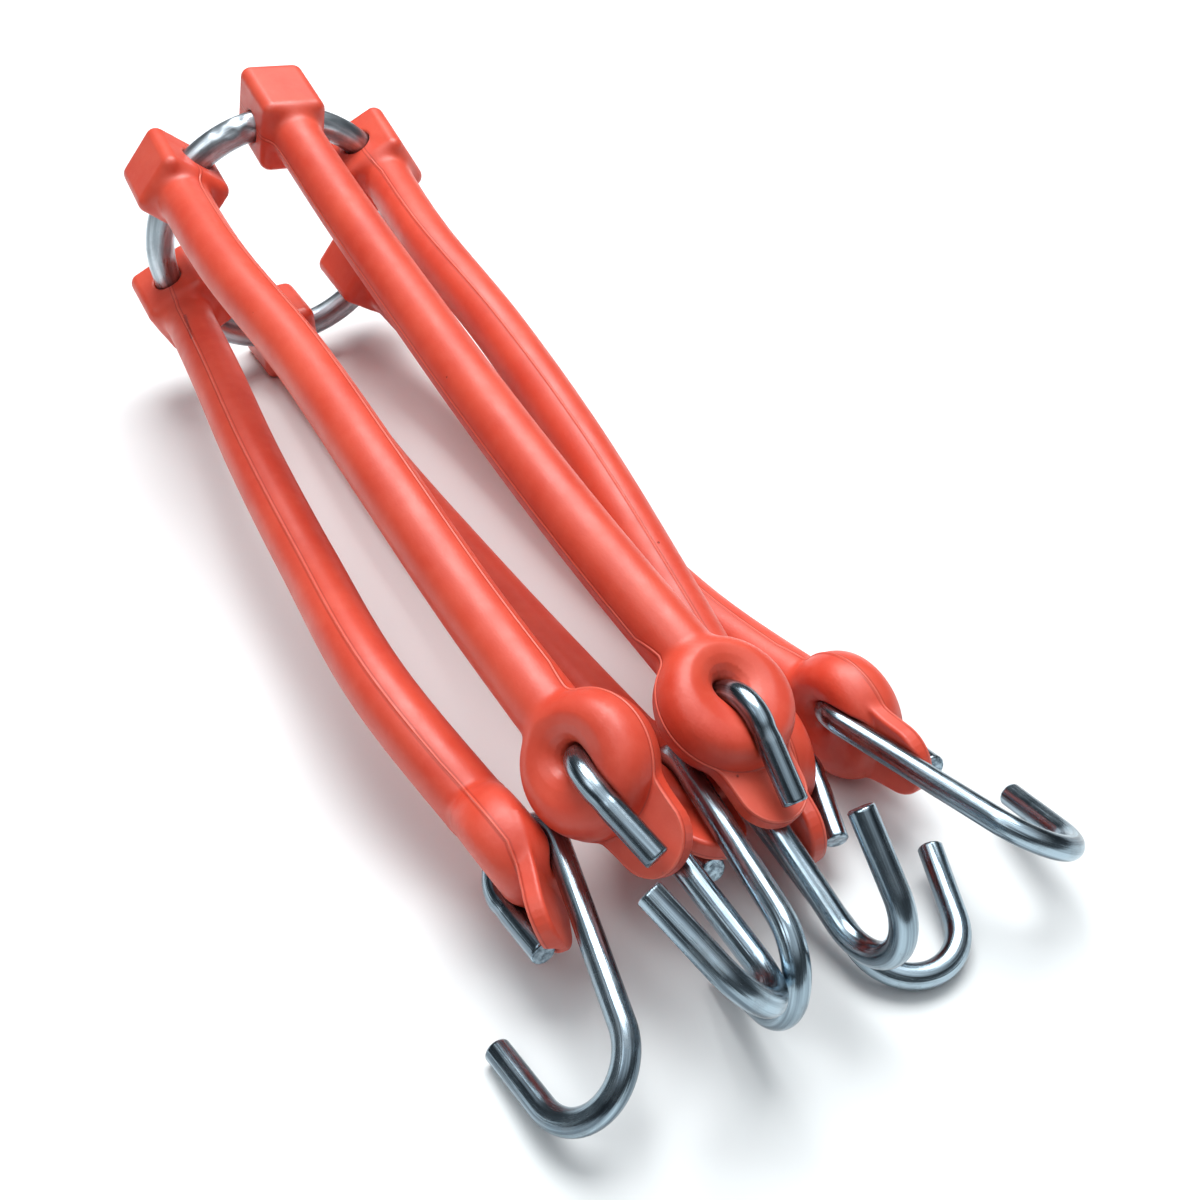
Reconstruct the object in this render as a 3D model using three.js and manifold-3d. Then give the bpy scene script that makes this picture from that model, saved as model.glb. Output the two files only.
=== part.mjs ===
// Spider bungee: six moulded rubber straps gathered on one steel ring, each with a round-wire hook in its eyelet.
// Millimetres, +Z up, floor at z = 0. The ring stands at the -X end and the hooks lie at the +X end.
import * as THREE from "three";
import { mergeVertices } from "three/addons/utils/BufferGeometryUtils.js";
import Module from "manifold-3d";

const wasm = await Module();
wasm.setup();

// Rubber strap, one moulding
const rodDiameter = 16.6;
const rodRootDiameter = 18;
const rodRootLength = 24;
const rodSides = 12;
const rodSteps = 16;
const eyeRadius = 17.6;
const eyeHoleRadius = 4.6;
const eyeHalfThickness = 8.3;
const eyeShift = 2.8;
const eyeTurns = 20;
const tabReach = 34.5;
const tabRootWidth = 25;
const tabWidth = 19.5;
const tabThickness = 4.5;
const tabBack = 0.2;
const tabChamfer = 0.9;
const tabBendAt = 13;
const headWidth = 21.5;
const headLength = 27;
const headHeight = 25;
const headRounding = 3;
const headShift = 1.3;

// Steel ring
const ringWire = 9.5;
const ringRadius = 42.4;
const ringTurns = 36;
const ringCentre = [-161.7, -3.9, 54.0];
const ringNormal = [0.993, -0.026, -0.117];

// Steel hook: small end, shank, open mouth
const hookWire = 6.35;
const smallRadius = 10.2;
const smallTurn = 200;
const shortLeg = 19.5;
const shankLength = 47.5;
const mouthRadius = 13.4;
const mouthTurn = 158;
const mouthLeg = 19.5;
const wireSides = 10;

// Air left round hook wire and ring where they press into the rubber
const wireGap = 0.4;

// The eyelet hole rides on the bend of the small end, off its line by a strap's slack
const seatRadius = 10.7;

const vec = (p) => new THREE.Vector3(...p);
const rad = THREE.MathUtils.degToRad;

// A triangle mesh as a solid that can be joined and cut
function solid(geometry) {
  const merged = mergeVertices(geometry, 1e-4);
  const faces = new Uint32Array(merged.index.array);
  const make = (triVerts) => new wasm.Manifold(new wasm.Mesh({
    numProp: 3,
    vertProperties: merged.attributes.position.array,
    triVerts,
  }));
  const body = make(faces);
  return body.volume() > 0 ? body : make(faces.reverse());
}

function meshOf(body, name, material) {
  const m = body.getMesh();
  const geometry = new THREE.BufferGeometry();
  geometry.setAttribute("position", new THREE.BufferAttribute(m.vertProperties, 3));
  geometry.setIndex(new THREE.BufferAttribute(m.triVerts, 1));
  geometry.computeVertexNormals();
  const mesh = new THREE.Mesh(geometry, material);
  mesh.name = name;
  return mesh;
}

// A skin over equal loops of points, closed at both ends or joined into a ring
function skin(loops, closed) {
  const n = loops[0].length;
  const points = loops.flat();
  const faces = [];
  const rows = closed ? loops.length : loops.length - 1;
  for (let i = 0; i < rows; i += 1) {
    const a = i * n;
    const b = ((i + 1) % loops.length) * n;
    for (let k = 0; k < n; k += 1) {
      const l = (k + 1) % n;
      faces.push(a + k, a + l, b + l, a + k, b + l, b + k);
    }
  }
  if (!closed) {
    const last = (loops.length - 1) * n;
    for (let k = 1; k < n - 1; k += 1) {
      faces.push(0, k + 1, k);
      faces.push(last, last + k, last + k + 1);
    }
  }
  const geometry = new THREE.BufferGeometry().setFromPoints(points);
  geometry.setIndex(faces);
  return solid(geometry);
}

// Round bar along points; radiusAt gives the radius for the share of the way gone
function bar(points, sides, radiusAt) {
  const loops = [];
  let side = null;
  const tangent = (i) => points[Math.min(i + 1, points.length - 1)].clone()
    .sub(points[Math.max(i - 1, 0)]).normalize();
  points.forEach((p, i) => {
    const along = tangent(i);
    if (!side) {
      side = Math.abs(along.z) < 0.9 ? new THREE.Vector3(0, 0, 1) : new THREE.Vector3(1, 0, 0);
    }
    side = side.clone().addScaledVector(along, -side.dot(along)).normalize();
    const up = along.clone().cross(side);
    const r = radiusAt(i / (points.length - 1));
    const loop = [];
    for (let k = 0; k < sides; k += 1) {
      const a = (2 * Math.PI * k) / sides;
      loop.push(p.clone().addScaledVector(side, r * Math.cos(a)).addScaledVector(up, r * Math.sin(a)));
    }
    loops.push(loop);
  });
  return skin(loops, false);
}

// Axes of a piece as a matrix: x direction, y direction made square to it, and the origin
function frame(x, y, origin) {
  const ax = vec(x).normalize();
  const ay = vec(y).addScaledVector(ax, -ax.dot(vec(y))).normalize();
  const az = ax.clone().cross(ay);
  return new THREE.Matrix4().makeBasis(ax, ay, az).setPosition(vec(origin));
}

const moved = (body, matrix) => body.transform(matrix.elements);

// Centre line of a bent hook in its own plane: x from the short leg to the shank, y towards the mouth
function hookLine(extra) {
  const line = [];
  const arc = (cx, cy, r, from, to, steps) => {
    for (let i = 0; i <= steps; i += 1) {
      const a = rad(from + ((to - from) * i) / steps);
      line.push(new THREE.Vector3(cx + r * Math.cos(a), cy + r * Math.sin(a), 0));
    }
  };
  const shortEnd = rad(-smallTurn);
  const mouthEnd = rad(mouthTurn);
  const start = new THREE.Vector3(Math.cos(shortEnd), Math.sin(shortEnd), 0).multiplyScalar(smallRadius);
  line.push(start.addScaledVector(new THREE.Vector3(Math.sin(shortEnd), -Math.cos(shortEnd), 0), shortLeg + extra));
  arc(0, 0, smallRadius, -smallTurn, 0, 12);
  arc(smallRadius - mouthRadius, shankLength, mouthRadius, 0, mouthTurn, 9);
  const end = line[line.length - 1].clone();
  line.push(end.addScaledVector(new THREE.Vector3(-Math.sin(mouthEnd), Math.cos(mouthEnd), 0), mouthLeg + extra));
  return line;
}

const hookBody = bar(hookLine(0), wireSides, () => hookWire / 2);
const wireRoom = bar(hookLine(wireGap), wireSides, () => hookWire / 2 + wireGap);

// Round body about the bore, which runs along x: a row of circles from their distances and radii
function turned(rows, shift) {
  const circle = ([x, r]) => {
    const loop = [];
    for (let i = 0; i < eyeTurns; i += 1) {
      const t = (2 * Math.PI * i) / eyeTurns;
      loop.push(new THREE.Vector3(x, shift + r * Math.cos(t), r * Math.sin(t)));
    }
    return loop;
  };
  return skin(rows.map(circle), false);
}

const bothSides = (half) => [...half.slice(1).reverse().map(([x, r]) => [-x, r]), ...half];

// Eyelet: a thick rounded disc, its middle a little beyond the bore
function eyelet() {
  const h = eyeHalfThickness;
  return turned(bothSides([
    [0, eyeRadius],
    [0.47 * h, eyeRadius - 0.6],
    [0.86 * h, eyeRadius - 3],
    [h, eyeRadius - 6],
  ]), eyeShift);
}

// The bore opens like a funnel on both faces
function bore() {
  const h = eyeHalfThickness;
  return turned(bothSides([
    [0, eyeHoleRadius],
    [0.5 * h, eyeHoleRadius + 0.5],
    [0.88 * h, eyeHoleRadius + 2.4],
    [1.1 * h, eyeHoleRadius + 5.6],
  ]), 0);
}

// Flat tab beyond the eyelet, with one face in the disc's middle plane: wide at the disc, rounded at its tip
function tab() {
  const tip = tabWidth / 2;
  const outline = (inset) => {
    const points = [[eyeHoleRadius + 3, -tabRootWidth / 2 + inset], [eyeRadius - 1, -tabRootWidth / 2 + 0.8 + inset]];
    for (let i = 0; i <= 8; i += 1) {
      const a = rad(-90 + (180 * i) / 8);
      points.push([tabReach - tip + (tip - inset) * Math.cos(a), (tip - inset) * Math.sin(a)]);
    }
    points.push([eyeRadius - 1, tabRootWidth / 2 - 0.8 - inset], [eyeHoleRadius + 3, tabRootWidth / 2 - inset]);
    return points;
  };
  const layer = (x, inset) => outline(inset).map(([y, z]) => new THREE.Vector3(x, y, z));
  const near = -tabBack;
  const far = tabThickness - tabBack;
  const c = tabChamfer;
  return skin([layer(near, c), layer(near + c, 0), layer(far - c, 0), layer(far, c)], false);
}

// Block with rounded edges: x along the ring, y along the strap, z across the ring
function headBlock() {
  const loops = [];
  const r = headRounding;
  const quarter = [0, 45, 90].map(rad);
  const across = [[1, 1, 0], [-1, 1, 90], [-1, -1, 180], [1, -1, 270]];
  const layer = (z, inset) => {
    const loop = [];
    across.forEach(([sx, sy, from]) => {
      [0, 45, 90].forEach((step) => {
        const a = rad(from + step);
        const k = r - inset;
        loop.push(new THREE.Vector3(
          sx * (headWidth / 2 - r) + k * Math.cos(a),
          sy * (headLength / 2 - r) + k * Math.sin(a),
          z,
        ));
      });
    });
    loops.push(loop);
  };
  quarter.slice().reverse().forEach((a) => {
    layer(-headHeight / 2 + r - r * Math.sin(a), r * 0.999 * (1 - Math.cos(a)));
  });
  quarter.forEach((a) => {
    layer(headHeight / 2 - r + r * Math.sin(a), r * 0.999 * (1 - Math.cos(a)));
  });
  return skin(loops, false);
}

// Steel ring, or the room for it, as a closed loop of round bar
function ringBody(extra) {
  const loops = [];
  for (let i = 0; i < ringTurns; i += 1) {
    const t = (2 * Math.PI * i) / ringTurns;
    const loop = [];
    for (let k = 0; k < wireSides; k += 1) {
      const s = (2 * Math.PI * k) / wireSides;
      const r = ringRadius + (ringWire / 2 + extra) * Math.cos(s);
      loop.push(new THREE.Vector3((ringWire / 2 + extra) * Math.sin(s), r * Math.cos(t), r * Math.sin(t)));
    }
    loops.push(loop);
  }
  return moved(skin(loops, true), frame(ringNormal, [0, 1, 0], ringCentre));
}

// Frame of the eyelet: bore along x, tab along y, set by the hook that hangs in it
function eyeFrame({ centre, side, shank, turn, roll, slack = 0 }) {
  const seat = new THREE.Matrix4().makeTranslation(0, slack - seatRadius, 0);
  return frame(side, shank, centre)
    .multiply(new THREE.Matrix4().makeRotationZ(-rad(turn)))
    .multiply(seat)
    .multiply(new THREE.Matrix4().makeRotationY(-rad(roll)));
}

// The tab bends where it leaves the disc
function tabFrame(eye, { turn, tabTurn }) {
  const out = new THREE.Matrix4().makeTranslation(0, tabBendAt, 0);
  const back = new THREE.Matrix4().makeTranslation(0, -tabBendAt, 0);
  return eye.clone().multiply(out).multiply(new THREE.Matrix4().makeRotationZ(rad(turn - tabTurn))).multiply(back);
}

// One strap: its way runs from the head hole along the rod to the eyelet hole
function strap(one) {
  const eye = eyeFrame(one);
  const way = [...one.way, new THREE.Vector3().setFromMatrixPosition(eye).toArray()];
  const curve = new THREE.CatmullRomCurve3(way.map(vec));
  const length = curve.getLength();
  const start = 4 / length;
  const end = 1 - 9 / length;
  const points = [];
  for (let i = 0; i <= rodSteps; i += 1) {
    points.push(curve.getPointAt(start + ((end - start) * i) / rodSteps));
  }
  const rod = bar(points, rodSides, (u) => {
    const root = Math.max(0, 1 - (u * length) / rodRootLength);
    return THREE.MathUtils.lerp(rodDiameter, rodRootDiameter, root * root) / 2;
  });
  const outward = vec(way[0]).sub(vec(ringCentre)).normalize();
  const along = points[2].clone().sub(vec(way[0])).normalize();
  const ringWay = vec(ringNormal).cross(outward).normalize();
  if (one.headFlat) {
    along.z = 0;
    ringWay.z = 0;
  }
  const head = frame(ringWay.toArray(), along.toArray(), way[0]);
  const inner = new THREE.Vector3(0, 0, 1).transformDirection(head).dot(outward) > 0 ? -1 : 1;
  head.multiply(new THREE.Matrix4().makeTranslation(0, 0, inner * headShift));
  return moved(headBlock(), head)
    .add(rod)
    .subtract(ringBody(wireGap))
    .add(moved(eyelet(), eye))
    .add(moved(tab(), tabFrame(eye, one)))
    .subtract(moved(bore(), eye))
    .subtract(moved(wireRoom, frame(one.side, one.shank, one.centre)));
}

// Each strap's way from its head hole, then its hook: centre of the small end, direction from the short leg
// to the shank, direction along the shank, and the turn of eyelet and tab and the eyelet's roll against the
// hook in degrees
const straps = {
  a: {
    way: [
      [-165.0, -42.9, 36.4],
      [-112.3, -48.2, 37.8],
      [-60.1, -53.7, 35.2],
      [-7.3, -57.1, 31.5],
      [48.0, -60.0, 31.6],
    ],
    centre: [110.9, -51.5, 21.5],
    side: [0.219, 0.707, 0.672],
    shank: [0.972, -0.219, -0.086],
    turn: 19,
    tabTurn: -4,
    roll: 22,
  },
  b: {
    way: [
      [-159.5, -37.7, 82.4],
      [-102.8, -40.9, 79.1],
      [-47.4, -38.0, 72.8],
      [6.2, -38.2, 66.4],
      [57.0, -36.1, 54.4],
    ],
    centre: [117.4, -32.7, 44.8],
    side: [-0.119, 0.638, -0.761],
    shank: [0.992, 0.039, -0.122],
    turn: 6,
    tabTurn: 6,
    roll: -14,
  },
  c: {
    way: [
      [-156.5, 2.0, 98.0],
      [-104.4, 0.3, 86.5],
      [-50.6, -1.1, 77.5],
      [2.2, -2.7, 70.3],
      [54.9, -1.7, 61.5],
    ],
    centre: [117.6, 3.3, 44.0],
    side: [-0.291, -0.102, -0.951],
    shank: [0.956, 0.009, -0.293],
    turn: 6,
    tabTurn: 6,
    roll: 3,
  },
  d: {
    way: [
      [-158.6, 34.6, 74.1],
      [-106.5, 29.3, 68.0],
      [-52.7, 29.5, 58.7],
      [0.3, 27.8, 46.9],
      [52.5, 23.5, 33.5],
    ],
    centre: [114.7, 18.5, 16.0],
    side: [0.033, -0.999, 0.001],
    shank: [0.980, 0.032, -0.194],
    turn: 6,
    tabTurn: 6,
    roll: 3,
  },
  e: {
    way: [
      [-164.3, 29.9, 28.5],
      [-107.9, 33.3, 22.0],
      [-55.0, 34.3, 18.5],
      [-3.1, 34.7, 15.8],
      [50.8, 38.5, 13.9],
    ],
    centre: [113.1, 47.3, 18.8],
    side: [0.075, -0.808, 0.584],
    shank: [0.979, 0.172, 0.113],
    turn: 6,
    tabTurn: 6,
    roll: -32,
    slack: 1,
  },
  f: {
    headFlat: true,
    way: [
      [-167.5, -7.7, 11.2],
      [-113.0, -8.9, 12.5],
      [-59.5, -11.2, 14.9],
      [-5.3, -11.1, 16.8],
      [48.3, -11.1, 20.5],
    ],
    centre: [113.1, -10.9, 24.6],
    side: [-0.016, 0.195, 0.981],
    shank: [0.989, -0.144, 0.045],
    turn: 6,
    tabTurn: 6,
    roll: 8,
  },
};

const rubber = new THREE.MeshStandardMaterial({ color: 0xd9432f, roughness: 0.55 });
const steel = new THREE.MeshStandardMaterial({ color: 0xb8c4cc, metalness: 1, roughness: 0.3 });

const part = new THREE.Group();
part.name = "spider_bungee";
part.add(meshOf(ringBody(0), "ring", steel));
Object.entries(straps).forEach(([key, one]) => {
  part.add(meshOf(strap(one), `strap_${key}`, rubber));
  part.add(meshOf(moved(hookBody, frame(one.side, one.shank, one.centre)), `hook_${key}`, steel));
});

export default part;
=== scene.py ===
"""Spider bungee: six moulded rubber straps on a steel ring, each with a bent wire hook.

Sizes are in millimetres up to the point where a mesh is made, which is in metres.
"""
import math

import bmesh
import bpy
import numpy as np
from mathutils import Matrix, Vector

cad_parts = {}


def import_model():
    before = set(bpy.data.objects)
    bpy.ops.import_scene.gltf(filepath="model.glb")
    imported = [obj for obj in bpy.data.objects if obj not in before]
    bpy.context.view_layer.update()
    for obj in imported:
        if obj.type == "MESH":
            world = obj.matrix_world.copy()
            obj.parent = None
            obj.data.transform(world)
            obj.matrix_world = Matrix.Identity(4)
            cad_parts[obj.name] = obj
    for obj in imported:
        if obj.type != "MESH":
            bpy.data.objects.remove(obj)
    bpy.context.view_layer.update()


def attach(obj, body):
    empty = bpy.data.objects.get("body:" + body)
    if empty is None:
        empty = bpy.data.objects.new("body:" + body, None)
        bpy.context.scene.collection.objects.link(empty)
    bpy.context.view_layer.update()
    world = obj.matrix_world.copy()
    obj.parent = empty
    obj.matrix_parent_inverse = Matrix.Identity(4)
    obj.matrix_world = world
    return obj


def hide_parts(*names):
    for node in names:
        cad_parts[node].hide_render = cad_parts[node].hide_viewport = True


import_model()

MM = 0.001

# Rubber strap: the sizes of the moulding that all six are
ROD_DIAMETER = 16.6
ROD_ROOT_DIAMETER = 18.0
ROD_ROOT_LENGTH = 24.0
EYE_RADIUS = 17.6
EYE_HOLE_RADIUS = 4.6
EYE_HALF_THICKNESS = 8.3
EYE_SHIFT = 2.8
TAB_REACH = 34.5
TAB_WIDTH = 19.5
TAB_THICKNESS = 4.5
TAB_BACK = 0.2
TAB_BEND_AT = 13.0
TAB_ROUNDING = 1.0
HEAD_SIZE = (21.5, 27.0, 25.0)
HEAD_ROUNDING = 3.6
HEAD_SHIFT = 1.3

# Fillets in the rubber, and the rounding of the rims where wire and bore cut into it
HEAD_FILLET = 3.6
EYE_FILLET = 2.0
TAB_FILLET = 0.9
RING_RIM = 1.3
BORE_RIM = 1.8
GROOVE_RIM = 1.0

# Air between the rubber and the wire that is pressed into it
RING_AIR = 0.2
HOOK_AIR = 0.12

# The rod's ends, from the head hole and before the eyelet hole, and its steps in the part's source
ROD_FROM = 4.0
ROD_TO = 9.0
ROD_STEPS = 16

# Where the rod grows out of the block, and where it ends in the eyelet's disc
BLOCK_ROD_FROM = 11.0
DISC_ROD_TO = 7.0

# Steel ring and hook
RING_WIRE = 9.5
RING_RADIUS = 42.4
HOOK_WIRE = 6.35
SMALL_RADIUS = 10.2
SMALL_TURN = 200.0
SHORT_LEG = 19.5
SHANK_LENGTH = 47.5
MOUTH_RADIUS = 13.4
MOUTH_TURN = 158.0
MOUTH_LEG = 19.5
SEAT_RADIUS = 10.7

# Nip of the bending tool on the short leg: its place from the cut end, its half length and its depth
NIP_AT = 17.5
NIP_HALF = 1.5
NIP_DEPTH = 0.16

# Hammered spots on the ring: place in degrees round it and round its wire, and depth; their half width
RING_SPOTS = ((96, 42, 0.45), (102, 12, 0.5), (107, 50, 0.5), (112, 20, 0.4), (100, 75, 0.35))
SPOT_HALF = 1.9

# Chamfer at the hooks' cut ends
CHAMFER = 0.35

# Where the rod piece meets the head piece and the eyelet piece, along the strap
HEAD_CUT = 40.0
EYE_CUT = 34.0

# The parting line turns from the head's plane to the eyelet's from here past the head hole to here
# before the eyelet hole
TWIST_FROM = 15.0
TWIST_TO = 25.0

# The parting line passes from the block's plane to the rod's over a stretch that starts past the head
# hole, and from the rod's to the disc's over one that ends before the eyelet hole
SEAM_ROD_FROM = 9.0
SEAM_ROD_OVER = 12.0
SEAM_DISC_TO = 15.0
SEAM_DISC_OVER = 8.0

# How finely the rubber's ends, the rods and the wires are meshed
FINE_STEP = 0.52
ROD_RINGS = 90
ROD_DEGREES = 6
HOOK_SIDES = 32
HOOK_DEGREES = 5
RING_SIDES = 36
RING_TURNS = 360
LEG_STEPS = 24
SHANK_STEPS = 12

# Flash along the parting line: half its width, its height, how deep its foot is sunk, and its steps
FLASH_HALF = 0.34
FLASH_HEIGHT = 0.27
FLASH_FOOT = 0.12
FLASH_STEP = 0.6

# Ends of the split in the rubber at the root of strap a, and how far from its line, in metres, it is
# full and gone
CRACK = ((-137.5, -48.2, 45.2), (-122.0, -50.8, 45.2))
CRACK_INNER = 0.0003
CRACK_OUTER = 0.0007

# Colours: red, green, blue and opacity
RUBBER_DEEP = (0.65, 0.058, 0.027, 1)
RUBBER_PALE = (0.72, 0.082, 0.041, 1)
RUBBER_MOTTLE = (0.80, 0.14, 0.085, 1)
RUBBER_GRIT = (0.22, 0.03, 0.018, 1)
# Painted shade in the creases beside the flash
RUBBER_PAINTED_SEAM_SHADE = (0.36, 0.026, 0.012, 1)
# Painted highlight on the flash's crest
RUBBER_PAINTED_CREST_HIGHLIGHT = (0.84, 0.21, 0.15, 1)
# Painted shade inside the split
RUBBER_PAINTED_SPLIT_SHADE = (0.25, 0.02, 0.012, 1)
HOOK_DARK = (0.12, 0.16, 0.195, 1)
HOOK_LIGHT = (0.40, 0.51, 0.585, 1)
RING_DARK = (0.30, 0.345, 0.38, 1)
RING_LIGHT = (0.62, 0.69, 0.74, 1)
STEEL_PATCH = (0.23, 0.265, 0.29, 1)
FLOOR_COLOUR = (0.85, 0.885, 0.89, 1)

RING_CENTRE = (-161.7, -3.9, 54.0)
RING_NORMAL = (0.993, -0.026, -0.117)

# Each strap as it lies. "way" is its route from the head hole to near the eyelet. "centre", "side" and
# "shank" are the middle of the hook's small end, the way from its short leg to its shank, and the shank's
# own way. "turn" and "tab_turn" are how far the eyelet and the tab lean towards the shank, in degrees,
# "roll" is the eyelet's turn about the strap, and "slack" is how far it stands off the hook's bend.
# "head_flat" lays the block flat on the floor.
# The middles of routes c and d lie up to 0.6 mm beside the solids', so that the two rods lie closer.
STRAPS = {
    "a": {
        "way": [
            (-165.0, -42.9, 36.4),
            (-112.3, -48.2, 37.8),
            (-60.1, -53.7, 35.2),
            (-7.3, -57.1, 31.5),
            (48.0, -60.0, 31.6),
        ],
        "centre": (110.9, -51.5, 21.5),
        "side": (0.219, 0.707, 0.672),
        "shank": (0.972, -0.219, -0.086),
        "turn": 19,
        "tab_turn": -4,
        "roll": 22,
    },
    "b": {
        "way": [
            (-159.5, -37.7, 82.4),
            (-102.8, -40.9, 79.1),
            (-47.4, -38.0, 72.8),
            (6.2, -38.2, 66.4),
            (57.0, -36.1, 54.4),
        ],
        "centre": (117.4, -32.7, 44.8),
        "side": (-0.119, 0.638, -0.761),
        "shank": (0.992, 0.039, -0.122),
        "turn": 6,
        "tab_turn": 6,
        "roll": -14,
    },
    "c": {
        "way": [
            (-156.5, 2.0, 98.0),
            (-104.2, 0.7, 86.5),
            (-50.4, -0.7, 77.5),
            (2.4, -2.3, 70.3),
            (54.9, -1.7, 61.5),
        ],
        "centre": (117.6, 3.3, 44.0),
        "side": (-0.291, -0.102, -0.951),
        "shank": (0.956, 0.009, -0.293),
        "turn": 6,
        "tab_turn": 6,
        "roll": 3,
    },
    "d": {
        "way": [
            (-158.6, 34.6, 74.1),
            (-106.8, 28.8, 68.0),
            (-53.0, 29.0, 58.7),
            (0.1, 27.5, 46.9),
            (52.5, 23.5, 33.5),
        ],
        "centre": (114.7, 18.5, 16.0),
        "side": (0.033, -0.999, 0.001),
        "shank": (0.980, 0.032, -0.194),
        "turn": 6,
        "tab_turn": 6,
        "roll": 3,
    },
    "e": {
        "way": [
            (-164.3, 29.9, 28.5),
            (-107.9, 33.3, 22.0),
            (-55.0, 34.3, 18.5),
            (-3.1, 34.7, 15.8),
            (50.8, 38.5, 13.9),
        ],
        "centre": (113.1, 47.3, 18.8),
        "side": (0.075, -0.808, 0.584),
        "shank": (0.979, 0.172, 0.113),
        "turn": 6,
        "tab_turn": 6,
        "roll": -32,
        "slack": 1.0,
    },
    "f": {
        "head_flat": True,
        "way": [
            (-167.5, -7.7, 11.2),
            (-113.0, -8.9, 12.5),
            (-59.5, -11.2, 14.9),
            (-5.3, -11.1, 16.8),
            (48.3, -11.1, 20.5),
        ],
        "centre": (113.1, -10.9, 24.6),
        "side": (-0.016, 0.195, 0.981),
        "shank": (0.989, -0.144, 0.045),
        "turn": 6,
        "tab_turn": 6,
        "roll": 8,
    },
}


def unit(v):
    v = np.asarray(v, float)
    return v / np.linalg.norm(v)


def axes(x, y, origin):
    """Axes of a piece as columns: x, y made square to it, their cross, and the origin."""
    ax = unit(x)
    ay = np.asarray(y, float)
    ay = unit(ay - ax * np.dot(ax, ay))
    m = np.eye(4)
    m[:3, 0] = ax
    m[:3, 1] = ay
    m[:3, 2] = np.cross(ax, ay)
    m[:3, 3] = origin
    return m


def shift(x, y, z):
    m = np.eye(4)
    m[:3, 3] = (x, y, z)
    return m


def turn_z(degrees):
    c = math.cos(math.radians(degrees))
    s = math.sin(math.radians(degrees))
    m = np.eye(4)
    m[:2, :2] = ((c, -s), (s, c))
    return m


def turn_y(degrees):
    c = math.cos(math.radians(degrees))
    s = math.sin(math.radians(degrees))
    m = np.eye(4)
    m[0, 0] = c
    m[0, 2] = s
    m[2, 0] = -s
    m[2, 2] = c
    return m


def local(points, m):
    return (points - m[:3, 3]) @ m[:3, :3]


def world(points, m):
    return points @ m[:3, :3].T + m[:3, 3]


RING_FRAME = axes(RING_NORMAL, (0, 1, 0), RING_CENTRE)


def hook_frame(one):
    return axes(one["side"], one["shank"], one["centre"])


def eye_frame(one):
    """Eyelet: bore along x, tab along y."""
    m = hook_frame(one) @ turn_z(-one["turn"])
    return m @ shift(0, one.get("slack", 0) - SEAT_RADIUS, 0) @ turn_y(-one["roll"])


def tab_frame(one):
    bend = turn_z(one["turn"] - one["tab_turn"])
    return eye_frame(one) @ shift(0, TAB_BEND_AT, 0) @ bend @ shift(0, -TAB_BEND_AT, 0)


class Route:
    """The strap's centre line from the head hole to the eyelet hole, in points half a millimetre apart."""

    def __init__(self, way):
        way = [np.asarray(p, float) for p in way]
        ends = [2 * way[0] - way[1], *way, 2 * way[-1] - way[-2]]
        out = []
        steps = 120
        u = np.linspace(0, 1, steps, endpoint=False)[:, None]
        for i in range(1, len(ends) - 2):
            p0, p1, p2, p3 = ends[i - 1 : i + 3]
            d0 = np.linalg.norm(p1 - p0) ** 0.5
            d1 = np.linalg.norm(p2 - p1) ** 0.5
            d2 = np.linalg.norm(p3 - p2) ** 0.5
            t1 = ((p1 - p0) / d0 - (p2 - p0) / (d0 + d1) + (p2 - p1) / d1) * d1
            t2 = ((p2 - p1) / d1 - (p3 - p1) / (d1 + d2) + (p3 - p2) / d2) * d1
            square = 3 * (p2 - p1) - 2 * t1 - t2
            cube = 2 * (p1 - p2) + t1 + t2
            out.append(p1 + u * t1 + u**2 * square + u**3 * cube)
        raw = np.vstack([*out, way[-1][None]])
        gone = np.concatenate([[0], np.cumsum(np.linalg.norm(np.diff(raw, axis=0), axis=1))])
        self.length = gone[-1]
        self.s = np.linspace(0, self.length, int(self.length * 2) + 1)
        self.c = np.stack([np.interp(self.s, gone, raw[:, k]) for k in range(3)], axis=1)
        t = np.gradient(self.c, self.s, axis=0)
        self.t = t / np.linalg.norm(t, axis=1)[:, None]

    def at(self, table, s):
        return np.stack([np.interp(s, self.s, table[:, k]) for k in range(3)], axis=1)

    def nearest(self, points, low, high):
        """The distance along the line of the point of it that is nearest to each of these."""
        s = np.clip(np.interp(points[:, 0], self.c[:, 0], self.s), low, high)
        for _ in range(4):
            step = ((points - self.at(self.c, s)) * self.at(self.t, s)).sum(1)
            s = np.clip(s + step, low, high)
        return s


def rod_radius(s):
    root = np.clip(1 - (s - ROD_FROM) / ROD_ROOT_LENGTH, 0, 1)
    return (ROD_DIAMETER + (ROD_ROOT_DIAMETER - ROD_DIAMETER) * root**2) / 2


def smooth_min(a, b, k):
    """The lesser of two distances, with a fillet of size k where they meet."""
    h = np.maximum(k - np.abs(a - b), 0) / k
    return np.minimum(a, b) - h * h * k * 0.25


def smooth_cut(a, b, k):
    """a with b taken out of it, with the rim rounded."""
    return -smooth_min(-a, b, k)


def outline_distance(x, y, outline):
    """Signed distance to a closed outline in a plane, negative inside."""
    best = np.full(x.shape, 1e9)
    inside = np.zeros(x.shape, bool)
    for (ax, ay), (bx, by) in zip(outline, [*outline[1:], outline[0]]):
        ex = bx - ax
        ey = by - ay
        wx = x - ax
        wy = y - ay
        t = np.clip((wx * ex + wy * ey) / (ex * ex + ey * ey), 0, 1)
        best = np.minimum(best, (wx - t * ex) ** 2 + (wy - t * ey) ** 2)
        if ay != by:
            crosses = ((ay > y) != (by > y)) & (x < ax + ex * (y - ay) / ey)
            inside ^= crosses
    return np.where(inside, -1, 1) * np.sqrt(best)


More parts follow.
